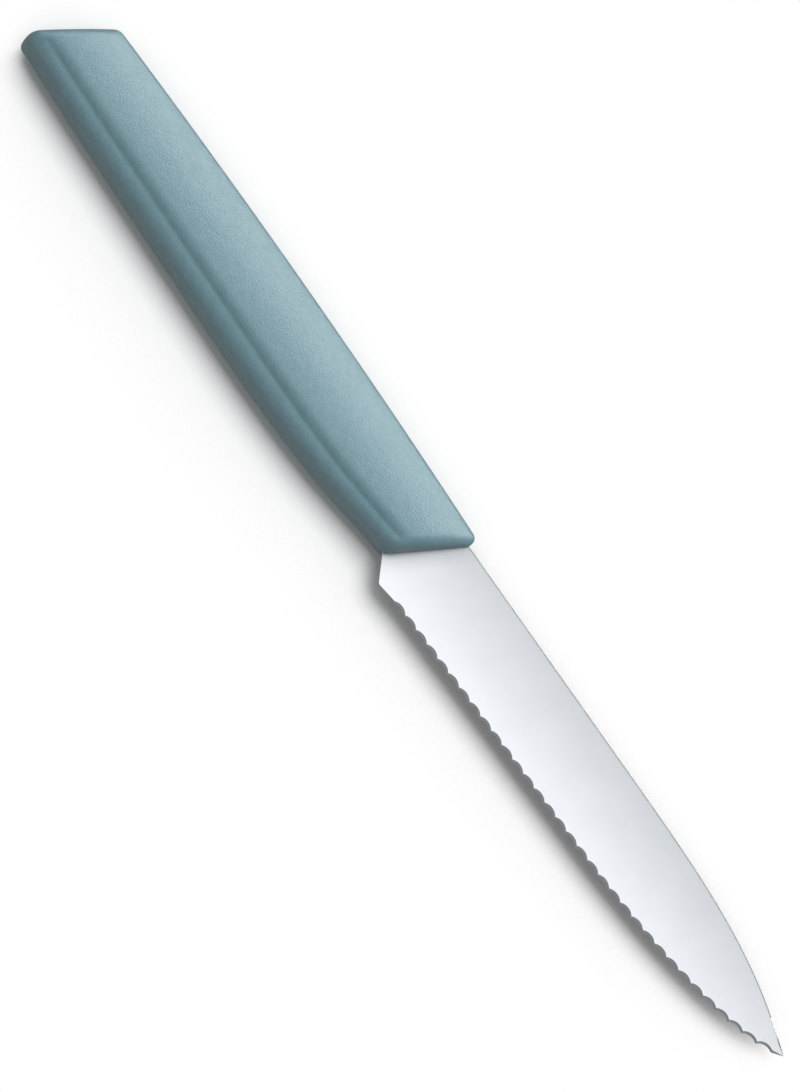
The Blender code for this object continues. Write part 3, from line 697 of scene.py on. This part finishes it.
def evenly(points, steps):
    """A path's points replaced by evenly spaced ones, without its first."""
    across, heights = np.array(points).T
    lengths = lengths_along(across, heights)
    stops = np.linspace(0.0, lengths[-1], steps + 1)[1:]
    return list(zip(np.interp(stops, lengths, across), np.interp(stops, lengths, heights)))


def belly_side(handle, foot, foot_height, cut):
    """The round belly from the foot of the crease to the cut, where it meets the other side."""
    half_width = handle.fullness * (foot - cut)
    middle = cut + half_width
    power = handle.belly_power
    share = (middle - foot) / half_width
    full_height = foot_height / (1 - share ** power) ** (1 / power)
    points = [(foot, foot_height)]
    start = math.asin(share ** (power / 2))
    for bend in spread(start, math.pi / 2, BELLY_FINENESS * handle.belly_steps):
        height = full_height * max(0.0, math.cos(bend)) ** (2 / power)
        points.append((middle - half_width * math.sin(bend) ** (2 / power), height))
    return evenly(points, handle.belly_steps)


def softened(points, first, last, rounds):
    """A path with its heights smoothed from one point to another."""
    heights = np.array([point[1] for point in points])
    for _ in range(rounds):
        middle = heights[first:last]
        heights[first:last] = (heights[first - 1:last - 1] + 2 * middle
                               + heights[first + 1:last + 1]) / 4
    return [(point[0], height) for point, height in zip(points, heights)]


def half_section(handle, bottom, cut, top, step_depth):
    """One side of the handle's section as (y, height) from the top edge to the belly."""
    edge = handle.top_edge
    centre = handle.crown - handle.crown_radius
    edge_y = top - edge
    reach = handle.crown_radius - edge
    edge_z = centre + math.sqrt(reach ** 2 - (edge_y - handle.crown_place) ** 2)
    lean = math.asin((edge_y - handle.crown_place) / reach)
    points = [(top, 0.0), (top, edge_z / 2), (top, edge_z)]
    for bend in spread(math.pi / 2, lean, handle.edge_steps):
        points.append((edge_y + edge * math.sin(bend), edge_z + edge * math.cos(bend)))
    foot = max(bottom + handle.step_place * (top - bottom), cut + handle.corner_rim)
    shoulder_top = foot + handle.step_width
    for y in spread(points[-1][0], shoulder_top, handle.face_steps):
        points.append((y, crown(handle, y)))
    for share in spread(0.0, 1.0, handle.crease_steps):
        y = shoulder_top + (foot - shoulder_top) * share
        points.append((y, crown(handle, y) - step_depth * share ** handle.step_curl))
    first = len(points) - handle.crease_steps
    points += belly_side(handle, foot, points[-1][1], cut)
    return softened(points, first, first + 2 * handle.crease_steps, handle.crease_softness)


def stations(handle):
    """Each section of the handle: place on the axis, slope, and depths behind both ends."""
    front = end_depths(handle, handle.front_rim, handle.front_belly_corner, handle.front_slope)
    butt = end_depths(handle, handle.butt_rim, handle.butt_belly_corner, handle.butt_slope)
    places = [depth - handle.length for depth in butt]
    places += spread(places[-1], -front[-1], handle.body_rings)
    places += [-depth for depth in front[-2::-1]]
    rows = []
    for place in places:
        share = (place + handle.length) / handle.length
        slope = handle.butt_slope + (handle.front_slope - handle.butt_slope) * share
        rows.append((place, slope, -place, place + handle.length))
    return rows


def crossing(line, place, slope, guess):
    """Height at which a sloping section meets the top or the belly line."""
    height = guess
    for _ in range(CROSSING_ROUNDS):
        height = line(place + slope * height)
    return height


def handle_sections(handle):
    """The handle's closed sections from the butt to the front, as lists of points."""
    curve = belly_curve(handle)
    along = [point.x for point in curve]
    heights = [point.y for point in curve]
    sections = []
    for place, slope, behind_front, behind_butt in stations(handle):
        bottom = crossing(lambda x: float(np.interp(x, along, heights)), place, slope,
                          handle.belly_front)
        top = crossing(lambda x: top_line(handle, x), place, slope, handle.top)
        cut = bottom + corner_inset(behind_front, handle.front_belly_corner, -handle.front_slope)
        cut += corner_inset(behind_butt, handle.butt_belly_corner, handle.butt_slope)
        top -= corner_inset(behind_front, handle.front_top_corner, handle.front_slope)
        top -= corner_inset(behind_butt, handle.butt_top_corner, -handle.butt_slope)
        left = rim_share(behind_front, handle.front_rim, handle.front_slope,
                         handle.front_thinning)
        left *= rim_share(behind_butt, handle.butt_rim, handle.butt_slope, handle.butt_thinning)
        fade = min(1.0, behind_front / handle.step_fade, behind_butt / handle.step_fade)
        fade = fade * fade * (3 - 2 * fade)
        half = [(y, height * left) for y, height in
                half_section(handle, bottom, cut, top, handle.step_depth * fade)]
        section = half + [(y, -height) for y, height in half[-2:0:-1]]
        sections.append([Vector((place + slope * y, y, height)) for y, height in section])
    return sections


def next_ring(bm, ring, points):
    """Extrudes a closed ring of vertices and moves the new ring on to some points."""
    edges = [bm.edges.get(pair) for pair in zip(ring, ring[1:] + ring[:1])]
    made = bmesh.ops.extrude_edge_only(bm, edges=edges)["geom"]
    fresh = {part for part in made if isinstance(part, bmesh.types.BMVert)}
    onward = []
    for vert, point in zip(ring, points):
        new = next(edge.other_vert(vert) for edge in vert.link_edges
                   if edge.other_vert(vert) in fresh)
        onward.append(new)
        new.co = point
    return onward


def handle_body(handle):
    """The handle's outside: a ring extruded from section to section, closed at both ends."""
    sections = handle_sections(handle)
    bm = bmesh.new()
    first = [bm.verts.new(point) for point in sections[0]]
    for pair in zip(first, first[1:] + first[:1]):
        bm.edges.new(pair)
    ring = first
    for section in sections[1:]:
        ring = next_ring(bm, ring, section)
    bm.faces.new(ring)
    close_butt(handle, bm, first)
    bmesh.ops.recalc_face_normals(bm, faces=bm.faces)
    return bm


def close_butt(handle, bm, ring):
    """Closes the butt with rings that shrink towards its middle and swell outwards."""
    points = [vert.co.copy() for vert in ring]
    middle = sum(points, Vector()) / len(points)
    outwards = Vector((-1.0, handle.butt_slope, 0.0)).normalized()
    for step in range(1, BUTT_RINGS):
        share = step / BUTT_RINGS
        swell = outwards * handle.butt_bulge * (1 - (1 - share) ** 2)
        shrunk = [point.lerp(middle, share) + swell for point in points]
        ring = next_ring(bm, ring, shrunk)
    bm.faces.new(ring)


def slot_solid(blade, handle):
    """The hollow that the moulded plastic leaves for the steel, open at the handle's front."""
    gap = handle.slot_gap
    ahead = handle.front_slope * blade.spine_height + handle.front_rim * 2
    corners = tang_corners(blade, handle)
    corners += [(blade.heel_position, -blade.edge_depth, 0), (ahead, blade.spine_height, 0)]
    outline = grown(rounded(corners), gap)
    bm = steel_sheet(outline, plunge_cuts(blade, handle))
    for vert in bm.verts:
        half = steel_half(blade, vert.co.x, vert.co.y) + gap
        vert.co.z = half if vert.co.z > 0.5 else -half
    return bm


# Placing


def lying_place(blade, handle):
    """The transform from the blade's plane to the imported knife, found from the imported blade."""
    roll = Matrix.Rotation(-handle.rest_angle, 4, "X")
    low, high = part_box("blade")
    bm = ground_steel(blade, handle)
    steel = [roll @ vert.co for vert in bm.verts]
    bm.free()
    shift = Vector((high.x - max(point.x for point in steel),
                    high.y - max(point.y for point in steel),
                    low.z - min(point.z for point in steel)))
    return Matrix.Translation(shift) @ roll


def add_object(name, bm):
    """Turns a bmesh into an object."""
    bmesh.ops.recalc_face_normals(bm, faces=bm.faces)
    mesh = bpy.data.meshes.new(name)
    bm.to_mesh(mesh)
    bm.free()
    thing = bpy.data.objects.new(name, mesh)
    bpy.context.scene.collection.objects.link(thing)
    return thing


def combine(target, bm, operation):
    """Cuts a solid out of a piece or joins it to the piece, for good."""
    tool = add_object("tool", bm)
    change = target.modifiers.new("tool", "BOOLEAN")
    change.operation = operation
    change.object = tool
    change.solver = "EXACT"
    graph = bpy.context.evaluated_depsgraph_get()
    mesh = bpy.data.meshes.new_from_object(target.evaluated_get(graph))
    target.modifiers.clear()
    spare = target.data
    target.data = mesh
    mesh.name = target.name
    bpy.data.meshes.remove(spare)
    tool_mesh = tool.data
    bpy.data.objects.remove(tool)
    bpy.data.meshes.remove(tool_mesh)


def settle(piece, node, place, finish):
    """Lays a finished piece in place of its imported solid."""
    piece.data.transform(place)
    piece.data.materials.clear()
    piece.data.materials.append(finish)
    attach(piece, "root")
    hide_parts(node)


# Finishes


class Shader:
    """A node tree whose nodes are added one by one."""

    def __init__(self, tree):
        self.tree = tree

    def node(self, kind, values=None, **settings):
        """Adds a node with some settings, and with numbers or links on its sockets."""
        made = self.tree.nodes.new(kind)
        for key, value in settings.items():
            setattr(made, key, value)
        for key, value in (values or {}).items():
            if isinstance(value, bpy.types.NodeSocket):
                self.tree.links.new(value, made.inputs[key])
            else:
                made.inputs[key].default_value = value
        return made

    def show(self, surface, output):
        """Makes a shader what the material or the world shows."""
        self.tree.links.new(surface, self.tree.nodes[output].inputs["Surface"])

    def rescaled(self, value, low, high, to_low, to_high):
        """A value taken from one range to another."""
        return self.node("ShaderNodeMapRange", {
            "Value": value, "From Min": low, "From Max": high, "To Min": to_low,
            "To Max": to_high}).outputs["Result"]

    def maths(self, operation, first, second):
        """The result of some arithmetic on two values."""
        return self.node("ShaderNodeMath", {0: first, 1: second},
                         operation=operation).outputs["Value"]

    def mixed(self, blend, factor, first, second):
        """A colour made from two colours."""
        return self.node("ShaderNodeMix", {
            MIX_FACTOR: factor, MIX_FIRST: first, MIX_SECOND: second},
            data_type="RGBA", blend_type=blend).outputs[MIX_RESULT]

    def either(self, factor, first, second):
        """The first shader where the factor is 0 and the second where it is 1."""
        return self.node("ShaderNodeMixShader", {
            "Fac": factor, 1: first, 2: second}).outputs["Shader"]

    def background(self, shown, strength):
        """Surroundings of a colour and a strength."""
        return self.node("ShaderNodeBackground", {
            "Color": shown, "Strength": strength}).outputs["Background"]

    def own_place(self, turn=(0.0, 0.0, 0.0), scale=(1.0, 1.0, 1.0)):
        """The piece's own coordinates, turned and stretched."""
        source = self.node("ShaderNodeTexCoord").outputs["Object"]
        return self.node("ShaderNodeMapping", {
            "Vector": source, "Rotation": turn, "Scale": scale}).outputs["Vector"]

    def noise(self, place, size, detail, roughness):
        """A noise pattern whose blobs have a real size in metres."""
        return self.node("ShaderNodeTexNoise", {
            "Vector": place, "Scale": 1 / size, "Detail": detail,
            "Roughness": roughness}).outputs["Fac"]

    def varied(self, pattern, low, high):
        """A noise pattern rescaled to a range."""
        return self.rescaled(pattern, *NOISE_RANGE, low, high)

    def bumped(self, pattern, **values):
        """The surface's direction with a bump, whose Distance is a real depth in metres."""
        return self.node("ShaderNodeBump", {
            "Height": pattern, "Strength": 1.0, **values}).outputs["Normal"]


def scaled(base, factor):
    """A colour made darker or lighter."""
    return tuple(min(1.0, value * factor) for value in base[:3]) + (1.0,)


def start_finish(name, settings):
    """A material of a piece's colour, with its node tree and its main shader's sockets."""
    material = bpy.data.materials.new(name)
    material.use_nodes = True
    material.diffuse_color = settings.colour
    sockets = material.node_tree.nodes["Principled BSDF"].inputs
    sockets["Base Color"].default_value = settings.colour
    return material, Shader(material.node_tree), sockets


def finish_off(shader, sockets, settings, tint, gloss, direction):
    """Varies a piece's colour with one pattern and its roughness with another.

    The colour is darkened with painted shade where another surface stands near, by an occlusion
    mask.
    """
    change = settings.tint_change
    tinted = shader.mixed("MIX", shader.varied(tint, 0.0, 1.0),
                          scaled(settings.colour, 1 - change),
                          scaled(settings.colour, 1 + change))
    # Painted shade: an occlusion mask darkens the colour near the other piece and in hollows
    painted_shade_openness = shader.node("ShaderNodeAmbientOcclusion", {"Distance": settings.shade_reach},
                        samples=KNIFE_SHADE_SAMPLES).outputs["AO"]
    left = shader.rescaled(painted_shade_openness, 0.0, 1.0, 1 - settings.painted_shade, 1.0)
    shader.tree.links.new(shader.mixed("MULTIPLY", 1.0, tinted, left), sockets["Base Color"])
    shader.tree.links.new(gloss, sockets["Roughness"])
    shader.tree.links.new(direction, sockets["Normal"])


def steel_finish(blade, handle):
    """Satin steel with fine lines that run from the spine to the edge."""
    material, shader, sockets = start_finish("satin_steel", blade)
    sockets["Metallic"].default_value = 1.0
    turned = (handle.rest_angle, 0.0, 0.0)
    stretch = blade.scratch_width / blade.scratch_length
    across = shader.own_place(turned, (1.0, stretch, stretch))
    lines = shader.noise(across, blade.scratch_width, *SATIN_NOISE)
    broad = shader.noise(shader.own_place(turned), blade.scratch_length, *SATIN_NOISE)
    change = blade.roughness_change
    gloss = shader.varied(lines, blade.roughness - change, blade.roughness + change)
    finish_off(shader, sockets, blade, broad, gloss,
               shader.bumped(lines, Distance=blade.scratch_bump))
    return material


def plastic_finish(handle):
    """Matt moulded plastic with a fine spark-eroded grain and a faint mottle."""
    material, shader, sockets = start_finish("handle_plastic", handle)
    sockets["Specular IOR Level"].default_value = handle.shine
    grain = shader.noise(shader.own_place(), handle.grain, *GRAIN_NOISE)
    mottle = shader.noise(shader.own_place(), handle.mottle, *MOTTLE_NOISE)
    both = shader.maths("MULTIPLY", shader.maths("ADD", grain, mottle), 0.5)
    change = handle.roughness_change
    gloss = shader.varied(grain, handle.roughness + change, handle.roughness - change)
    fine = shader.bumped(grain, Distance=handle.grain_bump)
    finish_off(shader, sockets, handle, both, gloss,
               shader.bumped(mottle, Distance=handle.mottle_bump, Normal=fine))
    return material


# Studio


def aim(thing, place, right, up):
    """Puts a camera or a light somewhere, with its own right and up directions."""
    back = right.cross(up)
    turn = Matrix((right, up, back)).transposed().to_4x4()
    thing.matrix_world = Matrix.Translation(place) @ turn


def add_camera(studio, place):
    """The camera at the photograph's angle."""
    data = bpy.data.cameras.new("camera")
    camera = bpy.data.objects.new("camera", data)
    bpy.context.scene.collection.objects.link(camera)
    along = Vector((1.0, 0.0, 0.0))
    across = Vector((0.0, math.cos(studio.tilt), math.sin(studio.tilt)))
    right = along * math.cos(studio.turn) + across * math.sin(studio.turn)
    up = across * math.cos(studio.turn) - along * math.sin(studio.turn)
    target = place @ Vector((studio.centre_x, studio.centre_y, 0.0))
    aim(camera, target + right.cross(up) * studio.camera_distance, right, up)
    data.sensor_width = SENSOR_WIDTH
    data.lens = SENSOR_WIDTH * studio.camera_distance / studio.picture_height
    data.clip_end = VIEW_DEPTH
    bpy.context.scene.camera = camera


def add_soft_light(studio):
    """A large soft light on the spine's side."""
    data = bpy.data.lights.new("soft_light", "AREA")
    data.energy = studio.light_power
    data.size = studio.light_size
    light = bpy.data.objects.new("soft_light", data)
    light.visible_glossy = False
    bpy.context.scene.collection.objects.link(light)
    towards = Vector((0.0, math.cos(studio.light_height), math.sin(studio.light_height)))
    right = Vector((-1.0, 0.0, 0.0))
    aim(light, towards * studio.light_distance, right, towards.cross(right))


def add_world(studio):
    """Surroundings that are white to the camera and even to matt surfaces.

    Glossy surfaces see them brightest low down on the spine's side.
    """
    world = bpy.data.worlds.new("studio")
    world.use_nodes = True
    bpy.context.scene.world = world
    shader = Shader(world.node_tree)
    rays = shader.node("ShaderNodeLightPath").outputs
    direction = shader.node("ShaderNodeTexCoord").outputs["Generated"]
    high = studio.bright_height
    side = shader.node("ShaderNodeVectorMath", {
        0: direction, 1: (0.0, math.cos(high), math.sin(high))},
        operation="DOT_PRODUCT").outputs["Value"]
    ramp = shader.node("ShaderNodeValToRGB", {
        "Fac": shader.rescaled(side, -1.0, 1.0, 0.0, 1.0)})
    elements = ramp.color_ramp.elements
    for index, (place, level) in enumerate(MIRRORED_LEVELS):
        stop = elements[index] if index < 2 else elements.new(place)
        stop.position = place
        cool = studio.coolness * (1 - level)
        stop.color = (level * (1 - cool), level, level * (1 + cool), 1.0)
    sideways = shader.node("ShaderNodeSeparateXYZ", {"Vector": direction}).outputs["Y"]
    glow = shader.rescaled(sideways, studio.glow_start, studio.glow_end, studio.surroundings,
                           studio.surroundings * studio.glow)
    lit = shader.either(rays["Is Glossy Ray"], shader.background(WHITE, studio.even_light),
                        shader.background(ramp.outputs["Color"], glow))
    shader.show(shader.either(rays["Is Camera Ray"], lit, shader.background(WHITE, 1.0)),
                "World Output")


def add_floor(studio):
    """A plain white floor that keeps the knife's lit shadow near it and is painted white away from
    it, where an occlusion mask finds open sky.
    """
    bm = bmesh.new()
    bmesh.ops.create_grid(bm, x_segments=1, y_segments=1, size=studio.floor_size / 2)
    floor = add_object("floor", bm)
    material = bpy.data.materials.new("floor_white")
    material.use_nodes = True
    shader = Shader(material.node_tree)
    shader.tree.nodes.remove(shader.tree.nodes["Principled BSDF"])
    rays = shader.node("ShaderNodeLightPath").outputs
    level = shader.rescaled(rays["Is Glossy Ray"], 0.0, 1.0, studio.floor_grey,
                            studio.floor_mirrored)
    seen = shader.maths("MULTIPLY", rays["Is Camera Ray"], studio.floor_white)
    matt = shader.node("ShaderNodeBsdfDiffuse", {
        "Color": shader.maths("MAXIMUM", level, seen)}).outputs["BSDF"]
    lean = studio.sky_lean
    skywards = shader.node("ShaderNodeCombineXYZ", {
        "Y": math.sin(lean), "Z": math.cos(lean)}).outputs["Vector"]
    open_sky = shader.node("ShaderNodeAmbientOcclusion", {
        "Distance": studio.shade_reach, "Normal": skywards},
        samples=FLOOR_SHADE_SAMPLES).outputs["AO"]
    # To the camera the lit shadow fades into painted white as the occlusion mask sees more open sky
    share = shader.rescaled(open_sky, studio.shade_start, studio.shade_end, 0.0, 1.0)
    bare = shader.node("ShaderNodeEmission", {"Color": WHITE}).outputs["Emission"]
    shader.show(shader.either(shader.maths("MULTIPLY", share, rays["Is Camera Ray"]),
                              matt, bare), "Material Output")
    floor.data.materials.append(material)


# Operators and the sidebar


class KNIFE_OT_blade(bpy.types.Operator):
    """Builds the ground steel blade with its tang"""

    bl_idname = "knife.blade"
    bl_label = "Blade"

    def execute(self, context):
        blade = context.scene.knife_blade
        handle = context.scene.knife_handle
        piece = add_object("ground_blade", ground_steel(blade, handle))
        combine(piece, round_bars(blade, blade.hole_radius, blade.stock), "DIFFERENCE")
        place = lying_place(blade, handle)
        settle(piece, "blade", place, steel_finish(blade, handle))
        return {"FINISHED"}


class KNIFE_OT_handle(bpy.types.Operator):
    """Builds the moulded handle with its slot and the plastic set through the tang"""

    bl_idname = "knife.handle"
    bl_label = "Handle"

    def execute(self, context):
        blade = context.scene.knife_blade
        handle = context.scene.knife_handle
        piece = add_object("moulded_handle", handle_body(handle))
        combine(piece, slot_solid(blade, handle), "DIFFERENCE")
        pins = round_bars(blade, blade.hole_radius - handle.slot_gap, blade.stock)
        combine(piece, pins, "UNION")
        piece.data.shade_smooth()
        piece.data.set_sharp_from_angle(angle=SHARP_ANGLE)
        settle(piece, "handle", lying_place(blade, handle),
               plastic_finish(handle))
        return {"FINISHED"}


class KNIFE_OT_studio(bpy.types.Operator):
    """Adds the camera, the light, the surroundings and the floor"""

    bl_idname = "knife.studio"
    bl_label = "Studio"

    def execute(self, context):
        studio = context.scene.knife_studio
        add_camera(studio, lying_place(context.scene.knife_blade, context.scene.knife_handle))
        add_soft_light(studio)
        add_world(studio)
        add_floor(studio)
        context.scene.view_settings.view_transform = "Standard"
        return {"FINISHED"}


class KNIFE_PT_sidebar(bpy.types.Panel):
    """Lists the pieces and their sizes"""

    bl_idname = "KNIFE_PT_sidebar"
    bl_label = "Paring Knife"
    bl_space_type = "VIEW_3D"
    bl_region_type = "UI"
    bl_category = "Paring Knife"

    def draw(self, context):
        scene = context.scene
        parts = (("knife.blade", scene.knife_blade), ("knife.handle", scene.knife_handle),
                 ("knife.studio", scene.knife_studio))
        for operator, settings in parts:
            box = self.layout.box()
            box.operator(operator)
            for key in settings.__annotations__:
                box.prop(settings, key)


CLASSES = (BladeSettings, HandleSettings, StudioSettings, KNIFE_OT_blade, KNIFE_OT_handle,
           KNIFE_OT_studio, KNIFE_PT_sidebar)


def register():
    """Makes the operators, the settings and the panel known."""
    for thing in CLASSES:
        bpy.utils.register_class(thing)
    bpy.types.Scene.knife_blade = PointerProperty(type=BladeSettings)
    bpy.types.Scene.knife_handle = PointerProperty(type=HandleSettings)
    bpy.types.Scene.knife_studio = PointerProperty(type=StudioSettings)


def unregister():
    """Takes them away again."""
    del bpy.types.Scene.knife_studio
    del bpy.types.Scene.knife_handle
    del bpy.types.Scene.knife_blade
    for thing in reversed(CLASSES):
        bpy.utils.unregister_class(thing)


def main():
    """Builds the knife and its studio."""
    register()
    bpy.ops.knife.blade()
    bpy.ops.knife.handle()
    bpy.ops.knife.studio()


if __name__ == "__main__":
    main()
